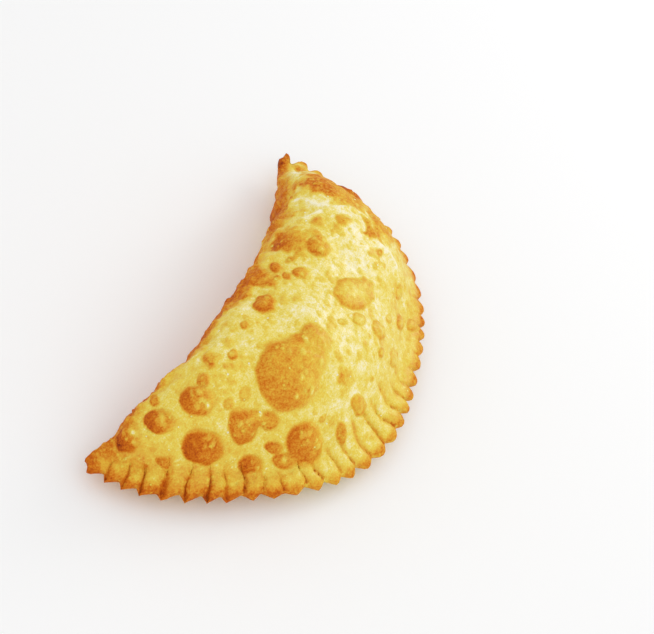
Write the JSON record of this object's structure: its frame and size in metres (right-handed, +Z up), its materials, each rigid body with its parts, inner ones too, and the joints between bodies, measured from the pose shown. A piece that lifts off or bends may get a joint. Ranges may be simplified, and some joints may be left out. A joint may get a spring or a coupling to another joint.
{
  "type": "cheese borek",
  "caption": "Fried half-moon pastry, puffed and blistered, with a rolled folded edge and a pleated, toothed sealed rim; lies flat on a table.",
  "frame": {"origin": "centre of the bounding box, on the table it lies on", "axes": "+X along the fold towards the far tip, +Y from the curved rim towards the fold, +Z up"},
  "size_m": [0.1346, 0.07, 0.0327],
  "materials": {
    "fried_dough": "golden fried dough, pale yellow with brown blisters and edges, faintly oily"
  },
  "bodies": {
    "root": {"borek": "fried_dough"}
  },
  "joints": []
}
